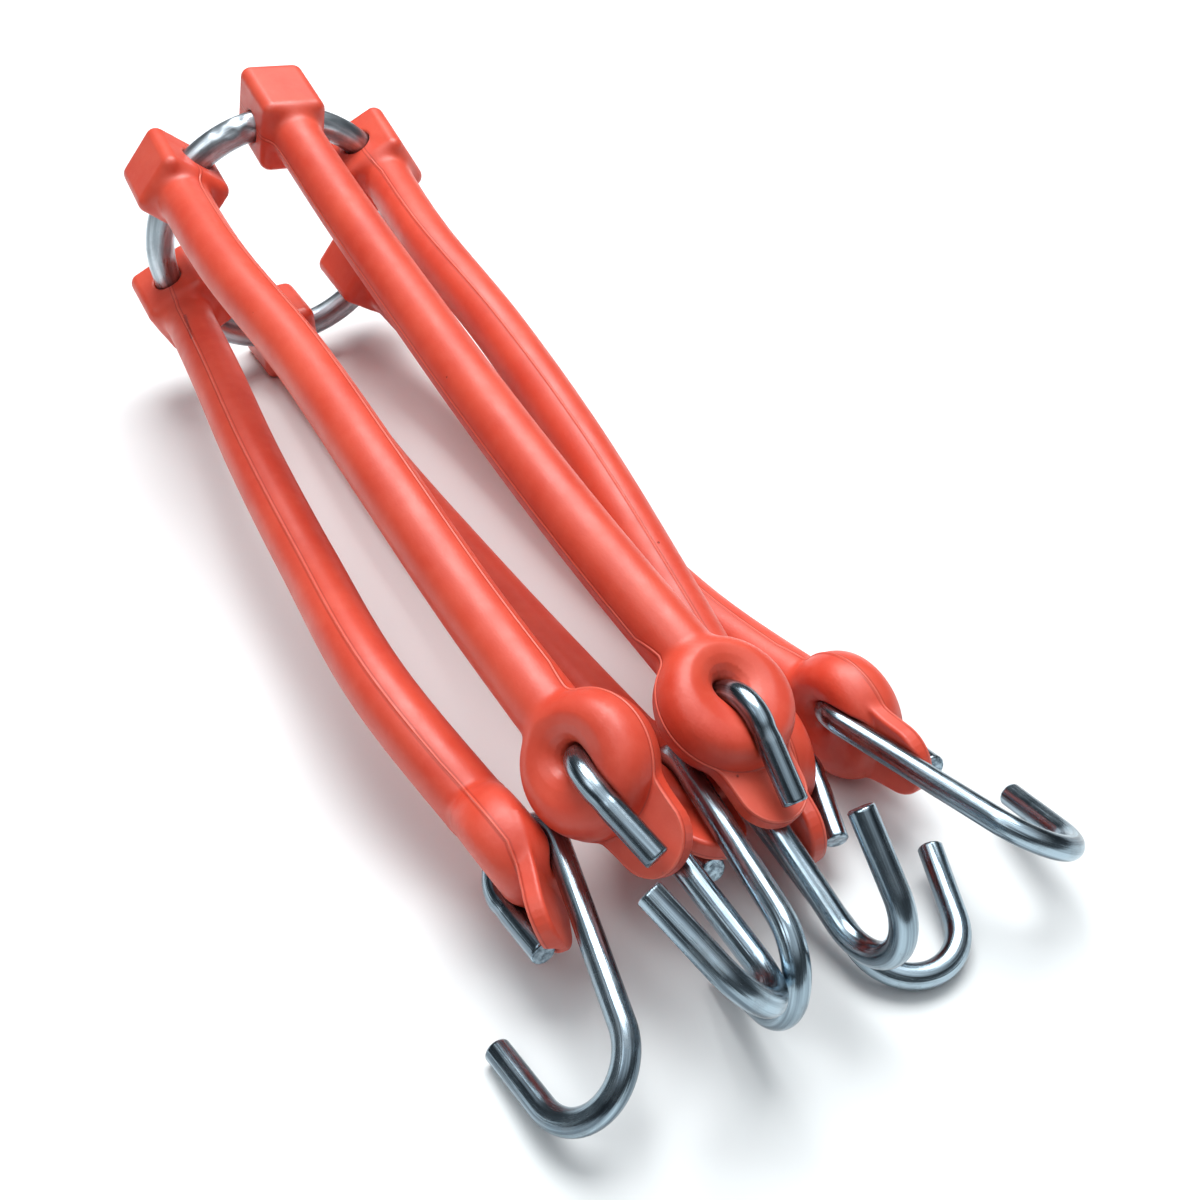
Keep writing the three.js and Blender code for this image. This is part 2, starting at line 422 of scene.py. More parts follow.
def smooth_line(points, per):
    """A smooth open line through these plane points."""
    way = [np.asarray(p, float) for p in points]
    ends = [2 * way[0] - way[1], *way, 2 * way[-1] - way[-2]]
    out = []
    for i in range(1, len(ends) - 2):
        p0, p1, p2, p3 = ends[i - 1 : i + 3]
        for k in range(per):
            u = k / per
            out.append(
                0.5 * (2 * p1 + (p2 - p0) * u + (2 * p0 - 5 * p1 + 4 * p2 - p3) * u**2)
                + 0.5 * (3 * p1 - p0 - 3 * p2 + p3) * u**3
            )
    out.append(way[-1])
    return out


def line_distance(points, line):
    best = np.full(len(points), 1e9)
    for a, b in zip(line[:-1], line[1:]):
        e = b - a
        w = points - a
        t = np.clip(w @ e / (e @ e), 0, 1)
        best = np.minimum(best, ((w - t[:, None] * e) ** 2).sum(1))
    return np.sqrt(best)


# Steps between the points of the eyelet's rim and of the tab's side
LINE_STEPS = 4

# The eyelet's rim, from the parting line to the face: how far in from the edge, and the share of its
# half thickness. Its section goes on far past the middle, where the bore is cut.
RIM_POINTS = [(0, 0), (0.25, 0.25), (0.9, 0.52), (2.1, 0.76), (4.1, 0.93), (6.8, 1.0), (9.4, 0.985)]
RIM_LINE = [(EYE_RADIUS - inset, share * EYE_HALF_THICKNESS) for inset, share in RIM_POINTS]
EYE_RIM = smooth_line(RIM_LINE, LINE_STEPS)
SECTION_FAR = -25
EYE_SECTION = [
    (SECTION_FAR, SECTION_FAR),
    (EYE_RADIUS, SECTION_FAR),
    *[tuple(p) for p in EYE_RIM],
    (SECTION_FAR, 0.98 * EYE_HALF_THICKNESS),
]

# The bore: how much its radius differs from the hole's, against the distance from the middle plane
BORE_AT = np.array([0, 0.35, 0.5, 0.65, 0.8, 0.92, 1.0, 1.2]) * EYE_HALF_THICKNESS
BORE_RADIUS = np.array([-1.8, -1.7, -1.3, -0.5, 0.8, 2.6, 4.8, 10.0]) + EYE_HOLE_RADIUS

# Outline of the tab: it leaves the disc in two hollow curves
TAB_ROOT = [(6, 14.8), (9.5, 13.7), (13, 12.3), (16.5, 11.1), (20, 10.3)]
TAB_SIDE = smooth_line([*TAB_ROOT, (TAB_REACH - TAB_WIDTH / 2, TAB_WIDTH / 2)], LINE_STEPS)
TAB_TIP = [
    (
        TAB_REACH - TAB_WIDTH / 2 + TAB_WIDTH / 2 * math.cos(math.radians(a)),
        TAB_WIDTH / 2 * math.sin(math.radians(a)),
    )
    for a in range(80, -81, -10)
]
TAB_OUTLINE = [
    *[tuple(p) for p in TAB_SIDE],
    *TAB_TIP,
    *[(p[0], -p[1]) for p in reversed(TAB_SIDE)],
]


def hook_line(step_degrees):
    """Centre line of a bent hook: x from the short leg to the shank, y towards the mouth."""
    line = []

    def arc(cx, cy, r, start, end):
        steps = max(2, int(abs(end - start) / step_degrees))
        for i in range(steps + 1):
            a = math.radians(start + (end - start) * i / steps)
            line.append((cx + r * math.cos(a), cy + r * math.sin(a), 0))

    a = math.radians(-SMALL_TURN)
    first = np.array((math.cos(a), math.sin(a))) * SMALL_RADIUS
    back = np.array((math.sin(a), -math.cos(a)))
    for i in range(LEG_STEPS):
        p = first + back * SHORT_LEG * (1 - i / LEG_STEPS)
        line.append((p[0], p[1], 0))
    arc(0, 0, SMALL_RADIUS, -SMALL_TURN, 0)
    for i in range(1, SHANK_STEPS):
        line.append((SMALL_RADIUS, SHANK_LENGTH * i / SHANK_STEPS, 0))
    arc(SMALL_RADIUS - MOUTH_RADIUS, SHANK_LENGTH, MOUTH_RADIUS, 0, MOUTH_TURN)
    a = math.radians(MOUTH_TURN)
    last = np.array(line[-1][:2])
    on = np.array((-math.sin(a), math.cos(a)))
    for i in range(1, LEG_STEPS + 1):
        p = last + on * MOUTH_LEG * i / LEG_STEPS
        line.append((p[0], p[1], 0))
    return np.array(line)


class Strap:
    """The rubber of one strap as a distance field, with the signed distance to its parting line."""

    def __init__(self, one):
        self.eye = eye_frame(one)
        self.tab = tab_frame(one)
        self.route = Route([*one["way"], self.eye[:3, 3]])
        head_at = np.asarray(one["way"][0], float)
        outward = unit(head_at - RING_CENTRE)
        # The block lies in line with the rod's first two steps in the part's source
        reach = ROD_FROM + (self.route.length - (ROD_FROM + ROD_TO)) * 2 / ROD_STEPS
        along = self.route.at(self.route.c, np.array([reach]))[0] - head_at
        ring_way = unit(np.cross(RING_NORMAL, outward))
        if one.get("head_flat"):
            along[2] = 0
            ring_way[2] = 0
        self.head = axes(ring_way, along, head_at)
        inner = -1 if self.head[:3, 2] @ outward > 0 else 1
        self.head = self.head @ shift(0, 0, inner * HEAD_SHIFT)
        # The wire that presses a groove into the rubber: from past the cut end to well up the shank
        coarse_degrees = 12
        past_eyelet = 30
        line = hook_line(coarse_degrees)
        wire = world(line[: np.argmax(line[:, 1] > past_eyelet) + 1], hook_frame(one))
        self.wire = np.vstack([wire[0] + (wire[0] - wire[1]) * 3, wire])
        self.twist()

    def twist(self):
        """Normals of the parting surface along the route, from the head's to the eyelet's."""
        r = self.route
        n = [unit(self.head[:3, 2] - r.t[0] * (self.head[:3, 2] @ r.t[0]))]
        for t in r.t[1:]:
            n.append(unit(n[-1] - t * (n[-1] @ t)))
        n = np.array(n)
        t = r.t[-1]
        goal = self.eye[:3, 0]
        goal = unit(goal - t * (goal @ t))
        if goal @ n[-1] < 0:
            goal = -goal
        self.eye_sign = 1 if goal @ self.eye[:3, 0] > 0 else -1
        angle = math.atan2(np.cross(n[-1], goal) @ t, n[-1] @ goal)
        share = np.clip((r.s - TWIST_FROM) / (r.length - (TWIST_FROM + TWIST_TO)), 0, 1) * angle
        b = np.cross(r.t, n)
        self.n = n * np.cos(share)[:, None] + b * np.sin(share)[:, None]

    def seam(self, points):
        """Signed distance from the parting surface."""
        r = self.route
        s = r.nearest(points, 0, r.length)
        off = points - r.at(r.c, s)
        rod = (off * r.at(self.n, s)).sum(1)
        head = local(points, self.head)[:, 2]
        eye = local(points, self.eye)
        tab = local(points, self.tab)
        disc = np.where(eye[:, 1] > TAB_BEND_AT, tab[:, 0], eye[:, 0]) * self.eye_sign
        on_rod = np.clip((s - SEAM_ROD_FROM) / SEAM_ROD_OVER, 0, 1)
        before_disc = np.clip((r.length - SEAM_DISC_TO - s) / SEAM_DISC_OVER, 0, 1)
        value = head * (1 - on_rod) + rod * on_rod
        return value * before_disc + disc * (1 - before_disc)

    def up_to_block(self, line):
        """The part of a parting line that lies on the rod and its root."""
        y = local(line, self.head)[:, 1]
        far = 1 if y.max() > -y.min() else -1
        return line[y * far > HEAD_SIZE[1] / 2 - 1]

    def rod(self, points, start):
        """Distance from the rod, from a start on the route to the eyelet's disc."""
        r = self.route
        s = r.nearest(points, start, r.length - DISC_ROD_TO)
        return np.linalg.norm(points - r.at(r.c, s), axis=1) - rod_radius(s)

    def head_end(self, points):
        p = local(points, self.head)
        q = np.abs(p) - np.array(HEAD_SIZE) / 2 + HEAD_ROUNDING
        block = np.linalg.norm(np.maximum(q, 0), axis=1) + np.minimum(q.max(1), 0) - HEAD_ROUNDING
        body = smooth_min(block, self.rod(points, BLOCK_ROD_FROM), HEAD_FILLET)
        ring = local(points, RING_FRAME)
        wire = np.hypot(np.hypot(ring[:, 1], ring[:, 2]) - RING_RADIUS, ring[:, 0]) - RING_WIRE / 2
        return smooth_cut(body, wire - RING_AIR, RING_RIM)

    def eye_end(self, points):
        p = local(points, self.eye)
        r = np.hypot(p[:, 1], p[:, 2])
        x = np.abs(p[:, 0])
        disc = outline_distance(np.hypot(p[:, 1] - EYE_SHIFT, p[:, 2]), x, EYE_SECTION)
        body = smooth_min(disc, self.rod(points, ROD_FROM), EYE_FILLET)
        q = local(points, self.tab)
        flat = outline_distance(q[:, 1], q[:, 2], TAB_OUTLINE) + TAB_ROUNDING
        thick = np.abs(q[:, 0] - TAB_THICKNESS / 2 + TAB_BACK) - TAB_THICKNESS / 2 + TAB_ROUNDING
        edge = np.hypot(np.maximum(flat, 0), np.maximum(thick, 0))
        tab = edge + np.minimum(np.maximum(flat, thick), 0) - TAB_ROUNDING
        body = smooth_min(body, tab, TAB_FILLET)
        # The bore's wall slopes, so its radial distance is eased to be near the true one
        bore = (r - np.interp(x, BORE_AT, BORE_RADIUS)) * 0.8
        body = smooth_cut(body, bore, BORE_RIM)
        groove = line_distance(points, self.wire) - HOOK_WIRE / 2 - HOOK_AIR
        return smooth_cut(body, groove, GROOVE_RIM)


# Angles round the rod, closer together at the flash on both sides, and the flash's height at each
NEAR_FLASH = {-3.4: 0.0, -2.3: 0.0, -1.3: 0.6, 0.0: 1.0, 1.3: 0.6, 2.3: 0.0, 3.4: 0.0}
ROD_ROWS = sorted(
    [(a, 0.0) for a in range(0, 360, ROD_DEGREES) if a not in (90, 270)]
    + [(side + a, h) for side in (90, 270) for a, h in NEAR_FLASH.items()]
)
ROD_ANGLES = np.radians([a for a, _ in ROD_ROWS])
ROD_RIDGE = np.array([h for _, h in ROD_ROWS]) * FLASH_HEIGHT

CORNERS = [(i, j, k) for i in (0, 1) for j in (0, 1) for k in (0, 1)]


def surface(distance, low, high, step):
    """A mesh of the zero surface of a distance field inside a box: its vertices and quads."""
    # One sample in each block of cells tells whether the surface can be near
    block = 6
    far = 9.0
    low = np.asarray(low, float)
    n = (np.ceil((np.asarray(high) - low) / step / block).astype(int)) * block
    mid = [low[a] + step * (np.arange(n[a] // block) * block + (block - 1) / 2) for a in range(3)]
    coarse = np.stack(np.meshgrid(*mid, indexing="ij"), axis=-1).reshape(-1, 3)
    d = distance(coarse)
    half_diagonal = 0.87
    spare = 1.2
    reach = (block * half_diagonal + 2) * step * spare
    field = np.where(d < 0, -far, far).reshape(n // block)
    field = field.repeat(block, 0).repeat(block, 1).repeat(block, 2)
    near = (np.abs(d) < reach).reshape(n // block)
    near = near.repeat(block, 0).repeat(block, 1).repeat(block, 2)
    cells = np.argwhere(near)
    field[near] = distance(low + cells * step)
    inside = field < 0
    nx, ny, nz = n - 1
    corners = [inside[i : nx + i, j : ny + j, k : nz + k].astype(np.int8) for i, j, k in CORNERS]
    count = sum(corners)
    active = (count > 0) & (count < len(CORNERS))
    index = np.full(active.shape, -1)
    cells = np.argwhere(active)
    index[active] = np.arange(len(cells))
    total = np.zeros((len(cells), 3))
    hits = np.zeros(len(cells))
    for c0 in CORNERS:
        for axis in range(3):
            if c0[axis]:
                continue
            c1 = list(c0)
            c1[axis] = 1
            f0 = field[tuple((cells + c0).T)]
            f1 = field[tuple((cells + c1).T)]
            crosses = (f0 < 0) != (f1 < 0)
            t = np.where(crosses, f0 / np.where(crosses, f0 - f1, 1), 0)
            at = np.array(c0, float)[None].repeat(len(cells), 0)
            at[:, axis] += t
            total[crosses] += at[crosses]
            hits += crosses
    vertices = low + (cells + total / hits[:, None]) * step
    quads = []
    for axis in range(3):
        u = (axis + 1) % 3
        v = (axis + 2) % 3
        a = inside[tuple(slice(0, -1) if k == axis else slice(1, -1) for k in range(3))]
        b = inside[tuple(slice(1, None) if k == axis else slice(1, -1) for k in range(3))]
        for flips, order in (((a & ~b), 1), ((~a & b), -1)):
            at = np.argwhere(flips)
            base = at.copy()
            base[:, u] += 1
            base[:, v] += 1
            ring = []
            for du, dv in ((-1, -1), (0, -1), (0, 0), (-1, 0)):
                c = base.copy()
                c[:, u] += du
                c[:, v] += dv
                ring.append(index[tuple(c.T)])
            quad = np.stack(ring[::order], axis=1)
            quads.append(quad[(quad >= 0).all(1)])
    return vertices, np.vstack(quads)


def slope(distance, points):
    """The way in which a distance field grows, from samples a little to both sides."""
    e = 0.04
    g = np.zeros(points.shape)
    for axis in range(3):
        d = np.zeros(3)
        d[axis] = e
        g[:, axis] = (distance(points + d) - distance(points - d)) / (2 * e)
    return g


def settle(distance, points):
    """Moves points onto the zero surface, in two steps of at most half a millimetre."""
    most = 0.5
    least_slope = 0.05
    for _ in range(2):
        g = slope(distance, points)
        d = np.clip(distance(points), -most, most)
        points = points - g * (d / np.maximum((g**2).sum(1), least_slope))[:, None]
    return points


def mesh_piece(name, vertices, faces, material, normals=None, seam=None, wire=None, flat_faces=0):
    """A piece of the part from millimetre points; its last flat_faces faces aren't smooth."""
    mesh = bpy.data.meshes.new(name)
    mesh.from_pydata((np.asarray(vertices) * MM).tolist(), [], [list(map(int, f)) for f in faces])
    mesh.polygons.foreach_set("use_smooth", [i < len(faces) - flat_faces for i in range(len(faces))])
    if seam is not None:
        layer = mesh.attributes.new("seam", "FLOAT", "POINT")
        layer.data.foreach_set("value", np.asarray(seam, np.float32))
    if wire is not None:
        layer = mesh.attributes.new("wire", "FLOAT_VECTOR", "POINT")
        layer.data.foreach_set("vector", np.asarray(wire, np.float32).ravel())
    mesh.update()
    if normals is not None:
        mesh.normals_split_custom_set_from_vertices([tuple(n) for n in normals])
    mesh.materials.append(material)
    piece = bpy.data.objects.new(name, mesh)
    bpy.context.scene.collection.objects.link(piece)
    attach(piece, "root")
    return piece


# Shorter parting lines, in mesh edges and after trimming, carry no flash
LEAST_LINE = 12
LEAST_TRIMMED = 5


def parting_lines(vertices, faces, seam):
    """The lines on a mesh where the seam value is zero, each from one open edge to another."""
    links = {}
    place = {}
    sign = seam < 0
    for face in faces:
        if len({sign[i] for i in face}) < 2:
            continue
        crossed = []
        for a, b in zip(face, [*face[1:], face[0]]):
            if sign[a] != sign[b]:
                key = (min(a, b), max(a, b))
                place[key] = vertices[a] + (vertices[b] - vertices[a]) * seam[a] / (seam[a] - seam[b])
                crossed.append(key)
        if len(crossed) == 2:
            links.setdefault(crossed[0], []).append(crossed[1])
            links.setdefault(crossed[1], []).append(crossed[0])
    lines = []
    seen = set()
    for first in [key for key, near in links.items() if len(near) == 1]:
        line = [first]
        while line[-1] not in seen:
            seen.add(line[-1])
            line += [key for key in links[line[-1]] if key not in seen][:1]
        if len(line) > LEAST_LINE:
            lines.append(np.array([place[key] for key in line]))
    return lines


def evenly(line, step):
    """The same line with its points a step apart."""
    gone = np.concatenate([[0], np.cumsum(np.linalg.norm(np.diff(line, axis=0), axis=1))])
    s = np.linspace(0, gone[-1], max(3, int(gone[-1] / step)))
    return np.stack([np.interp(s, gone, line[:, k]) for k in range(3)], axis=1)


# The flash's section: place across it in half widths, height, and its normal across and up
FLASH_PROFILE = (
    (-1, -FLASH_FOOT, -0.9, 0.4),
    (-0.55, 0.6 * FLASH_HEIGHT, -0.6, 0.8),
    (0, FLASH_HEIGHT, 0, 1),
    (0.55, 0.6 * FLASH_HEIGHT, 0.6, 0.8),
    (1, -FLASH_FOOT, 0.9, 0.4),
)


def flash(distance, line):
    """A low ridge along a line on the rubber: vertices, faces and normals."""
    line = settle(distance, evenly(line, FLASH_STEP))
    up = slope(distance, line)
    up /= np.linalg.norm(up, axis=1)[:, None]
    along = np.gradient(line, axis=0)
    side = np.cross(along, up)
    side /= np.linalg.norm(side, axis=1)[:, None]
    rows = [line + side * across * FLASH_HALF + up * height for across, height, _, _ in FLASH_PROFILE]
    vertices = np.stack(rows, axis=1).reshape(-1, 3)
    normals = np.stack([side * x + up * y for _, _, x, y in FLASH_PROFILE], axis=1).reshape(-1, 3)
    normals /= np.linalg.norm(normals, axis=1)[:, None]
    n = len(FLASH_PROFILE)
    faces = []
    for i in range(len(line) - 1):
        for k in range(n):
            m = (k + 1) % n
            faces.append((i * n + k, i * n + m, (i + 1) * n + m, (i + 1) * n + k))
    last = (len(line) - 1) * n
    faces.append(tuple(range(n))[::-1])
    faces.append(tuple(last + k for k in range(n)))
    return vertices, faces, normals


def rubber_end(name, distance, seam, box, cut, flash_ends, material):
    """A strap's head or eyelet, meshed inside a box and cut off square where the rod begins."""
    vertices, quads = surface(distance, *box, FINE_STEP)
    vertices = settle(distance, vertices)
    bm = bmesh.new()
    points = [bm.verts.new(v) for v in vertices]
    for q in quads:
        bm.faces.new([points[i] for i in q])
    geometry = [*bm.verts, *bm.edges, *bm.faces]
    cut_at, cut_way = [Vector(v) for v in cut]
    bmesh.ops.bisect_plane(bm, geom=geometry, plane_co=cut_at, plane_no=cut_way, clear_outer=True)
    bm.verts.index_update()
    vertices = np.array([v.co[:] for v in bm.verts])
    faces = [[v.index for v in f.verts] for f in bm.faces]
    bm.free()
    normals = slope(distance, vertices)
    normals /= np.linalg.norm(normals, axis=1)[:, None]
    value = seam(vertices)
    for line in parting_lines(vertices, faces, value):
        line = flash_ends(line)
        if len(line) < LEAST_TRIMMED:
            continue
        more, ridge, tilt = flash(distance, line)
        faces += [[len(vertices) + i for i in f] for f in ridge]
        vertices = np.vstack([vertices, more])
        normals = np.vstack([normals, tilt])
        value = np.concatenate([value, np.zeros(len(more))])
    return mesh_piece(name, vertices, faces, material, normals, value)


def tube_mesh(centres, normals, binormals, radii, sides, closed=False, angles=None):
    """Rings of points round a line, with quads between them."""
    a = np.linspace(0, 2 * math.pi, sides, endpoint=False) if angles is None else angles
    outward = normals[:, None] * np.cos(a)[None, :, None] + binormals[:, None] * np.sin(a)[None, :, None]
    vertices = (centres[:, None] + outward * radii[..., None]).reshape(-1, 3)
    n = len(centres)
    faces = []
    for i in range(n if closed else n - 1):
        j = (i + 1) % n
        for k in range(sides):
            m = (k + 1) % sides
            faces.append((i * sides + k, i * sides + m, j * sides + m, j * sides + k))
    return vertices, faces


class Material:
    """A material's nodes, each made in one call with its inputs linked or set."""

    def __init__(self, name):
        self.made = bpy.data.materials.new(name)
        self.made.use_nodes = True
        self.tree = self.made.node_tree
        self.shader = self.tree.nodes["Principled BSDF"]

    def set(self, socket, value):
        if isinstance(value, bpy.types.NodeSocket):
            self.tree.links.new(value, socket)
        else:
            socket.default_value = value

    def node(self, kind, inputs, output=0, **settings):
        node = self.tree.nodes.new("ShaderNode" + kind)
        for key, value in settings.items():
            setattr(node, key, value)
        for key, value in inputs.items():
            self.set(node.inputs[key], value)
        return node.outputs[output]

    def place(self):
        return self.node("TexCoord", {}, "Object")

    def noise(self, vector, scale, detail=2.0, roughness=0.5):
        inputs = {"Vector": vector, "Scale": scale, "Detail": detail, "Roughness": roughness}
        return self.node("TexNoise", inputs, "Fac")

    def span(self, value, low, high, to_low=0.0, to_high=1.0):
        inputs = {"Value": value, "From Min": low, "From Max": high, "To Min": to_low, "To Max": to_high}
        return self.node("MapRange", inputs, 0, clamp=True)

    def maths(self, operation, a, b=0.0):
        return self.node("Math", {0: a, 1: b}, 0, operation=operation)

    def mix(self, share, a, b):
        node = self.tree.nodes.new("ShaderNodeMix")
        node.data_type = "RGBA"
        self.set(node.inputs["Factor"], share)
        self.set(node.inputs["A"], a)
        self.set(node.inputs["B"], b)
        return node.outputs["Result"]

    def bump(self, height, distance, normal=None):
        inputs = {"Height": height, "Distance": distance, "Strength": 1.0}
        if normal is not None:
            inputs["Normal"] = normal
        return self.node("Bump", inputs)


# Patterns of the rubber: how many of each go into a metre, and how high or deep they are in metres
CLOUDS = 45.0
MOTTLES = 240.0
GRIT_CELLS = 120.0
GRIT_FIELDS = 70.0
SHEEN_PATCHES = 110.0
GRAINS = 1600.0
WAVES = 90.0
GRAIN_HEIGHT = 0.00003
WAVE_HEIGHT = 0.00009
PIT_DEPTH = 0.0002
SPLIT_FRAY = 0.0004

# Patterns of the steel: streaks in a millimetre round the wire, patches in a metre, heights in metres
STREAKS = 0.55
FINE_STREAKS = 3.5
DULL_PATCHES = 130.0
STREAK_HEIGHT = 0.00022
FINE_HEIGHT = 0.00003


def split_share(m, place, mottle):
    """How far a place lies in the split: one in its middle, none outside, with a frayed edge."""
    start = np.array(CRACK[0]) * MM
    along = np.array(CRACK[1]) * MM - start
    off = m.node("VectorMath", {0: place, 1: tuple(start)}, 0, operation="SUBTRACT")
    per_length = tuple(along / (along @ along))
    share = m.node("VectorMath", {0: off, 1: per_length}, "Value", operation="DOT_PRODUCT")
    share = m.span(share, 0.0, 1.0)
    foot = m.node("VectorMath", {0: tuple(along), "Scale": share}, 0, operation="SCALE")
    gap = m.node("VectorMath", {0: off, 1: foot}, "Value", operation="DISTANCE")
    frayed = m.maths("ADD", gap, m.span(mottle, 0.0, 1.0, -SPLIT_FRAY, SPLIT_FRAY))
    return m.span(frayed, CRACK_OUTER, CRACK_INNER)


def rubber_material():
    """Clouded rubber with grit in its skin, painted shade beside the flash and a painted highlight on its
    crest, and one split that is darkened with painted shade.
    """
    m = Material("coral rubber")
    place = m.place()
    seam = m.maths("ABSOLUTE", m.node("Attribute", {}, "Fac", attribute_name="seam"))
    cloud = m.noise(place, CLOUDS, 3.0)
    mottle = m.noise(place, MOTTLES, 3.0, 0.6)
    colour = m.mix(m.span(cloud, 0.35, 0.68), RUBBER_DEEP, RUBBER_PALE)
    colour = m.mix(m.span(mottle, 0.45, 0.78, 0.0, 0.22), colour, RUBBER_MOTTLE)
    # Dark grit, only in some fields of the skin
    cell = m.node("TexVoronoi", {"Vector": place, "Scale": GRIT_CELLS}, "Distance")
    rare = m.span(m.noise(place, GRIT_FIELDS, 1.0), 0.55, 0.60)
    speck = m.maths("MULTIPLY", m.span(cell, 0.055, 0.03), rare)
    colour = m.mix(m.maths("MULTIPLY", speck, 0.75), colour, RUBBER_GRIT)
    # Painted shade along both sides of the flash, and a paler crest that is a painted highlight; seam is
    # the distance from it in millimetres
    seam_shade = m.maths("MULTIPLY", m.span(seam, 0.38, 0.5), m.span(seam, 0.95, 0.55))
    colour = m.mix(m.maths("MULTIPLY", seam_shade, 0.65), colour, RUBBER_PAINTED_SEAM_SHADE)
    # The flash's crest: a painted highlight
    colour = m.mix(m.span(seam, 0.30, 0.12, 0.0, 0.35), colour, RUBBER_PAINTED_CREST_HIGHLIGHT)
    split = split_share(m, place, mottle)
    # The split is darkened with painted shade, as inside a crack, and is also pitted in the bump below
    colour = m.mix(m.maths("MULTIPLY", split, 0.7), colour, RUBBER_PAINTED_SPLIT_SHADE)
    m.set(m.shader.inputs["Base Color"], colour)
    sheen = m.noise(place, SHEEN_PATCHES, 4.0, 0.6)
    m.set(m.shader.inputs["Roughness"], m.span(sheen, 0.3, 0.7, 0.36, 0.52))
    m.shader.inputs["Specular IOR Level"].default_value = 0.62
    m.shader.inputs["Subsurface Weight"].default_value = 0.06
    m.shader.inputs["Subsurface Radius"].default_value = (0.004, 0.0012, 0.0008)
    m.shader.inputs["Subsurface Scale"].default_value = 1.0
    grain = m.bump(m.noise(place, GRAINS, 2.0), GRAIN_HEIGHT)
    waves = m.bump(m.noise(place, WAVES, 2.0), WAVE_HEIGHT, grain)
    pits = m.bump(m.maths("ADD", speck, split), -PIT_DEPTH, waves)
    m.set(m.shader.inputs["Normal"], pits)
    return m.made


def steel_material(name, dark, light, dullness):
    """Zinc on drawn wire, whose streaks along it are drawing marks and also painted reflection streaks;
    the wire attribute is the place round it and, shortened, along it.
    """
    m = Material(name)
    wire = m.node("Attribute", {}, "Vector", attribute_name="wire")
    place = m.place()
    streak = m.noise(wire, STREAKS, 3.0, 0.55)
    fine = m.noise(wire, FINE_STREAKS, 3.0, 0.6)
    patch = m.noise(place, DULL_PATCHES, 4.0, 0.6)
    # Dark and light streaks along the wire in its colour: drawing marks, and painted reflection streaks as
    # of dark walls round it
    colour = m.mix(m.span(streak, 0.38, 0.62), dark, light)
    colour = m.mix(m.span(patch, 0.50, 0.72, 0.0, 0.6), colour, STEEL_PATCH)
    m.set(m.shader.inputs["Base Color"], colour)
    m.shader.inputs["Metallic"].default_value = 1
    low = 0.10 + dullness
    rough = m.maths("ADD", m.span(patch, 0.35, 0.7, low, low + 0.16), m.span(fine, 0.3, 0.7, 0.0, 0.12))
    m.set(m.shader.inputs["Roughness"], rough)
    lines = m.bump(streak, STREAK_HEIGHT)
    drawn = m.bump(fine, FINE_HEIGHT, lines)
    m.set(m.shader.inputs["Normal"], drawn)
    return m.made


rubber = rubber_material()
hook_steel = steel_material("zinc plated steel", HOOK_DARK, HOOK_LIGHT, dullness=0.0)
ring_steel = steel_material("dull zinc steel", RING_DARK, RING_LIGHT, dullness=0.14)

# Room round a head, a cut rod, an eyelet and a tab's tip for the boxes in which they are meshed
HEAD_ROOM = 24.0
ROD_ROOM = 14.0
EYE_ROOM = 21.0
TIP_ROOM = 13.0


def room_box(*places):
    """The lowest and highest corners of a box round these points, each with its own room."""
    low = np.min([point - room for point, room in places], axis=0)
    high = np.max([point + room for point, room in places], axis=0)
    return low, high


def make_strap(key, one):
    """The head, rod and eyelet pieces of one strap; the rod is a cord."""
    strap = Strap(one)
    r = strap.route
    node = "strap_" + key
    cut = np.array([HEAD_CUT, r.length - EYE_CUT])
    at = r.at(r.c, cut)
    way = r.at(r.t, cut)
    box = room_box((strap.head[:3, 3], HEAD_ROOM), (at[0], ROD_ROOM))
    ends = (at[0], way[0])
    head = rubber_end("head_" + key, strap.head_end, strap.seam, box, ends, strap.up_to_block, rubber)
    tip = world(np.array([[0, TAB_REACH, 0]]), strap.tab)[0]
    box = room_box((strap.eye[:3, 3], EYE_ROOM), (at[1], ROD_ROOM), (tip, TIP_ROOM))
    ends = (at[1], -way[1])
    eye = rubber_end("eyelet_" + key, strap.eye_end, strap.seam, box, ends, lambda line: line, rubber)
    s = np.linspace(cut[0], cut[1], ROD_RINGS)
    centres = r.at(r.c, s)
    along = r.at(r.t, s)
    n = r.at(strap.n, s)
    n -= along * (n * along).sum(1)[:, None]
    n /= np.linalg.norm(n, axis=1)[:, None]
    sides = len(ROD_ANGLES)
    radii = rod_radius(s)[:, None] + ROD_RIDGE[None]
    vertices, faces = tube_mesh(centres, n, np.cross(along, n), radii, sides, angles=ROD_ANGLES)
    rod = mesh_piece("rod_" + key, vertices, faces, rubber, seam=strap.seam(vertices))
    for piece in (head, rod, eye):
        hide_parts(node)


# Lengths along the wire count this much less in the steel's pattern, which draws it out into streaks
DRAWN = 0.025


def wire_places(line, sides, first=0.0):
    """Texture places on round wire: round it in millimetres, and along it, shortened."""
    a = np.linspace(0, 2 * math.pi, sides, endpoint=False)
    gone = np.concatenate([[0], np.cumsum(np.linalg.norm(np.diff(line, axis=0), axis=1))])
    r = HOOK_WIRE / 2
    return np.stack(
        [
            np.tile(r * np.cos(a), len(line)) + first,
            np.tile(r * np.sin(a), len(line)),
            np.repeat(gone * DRAWN, sides) + first,
        ],
        axis=1,
    )


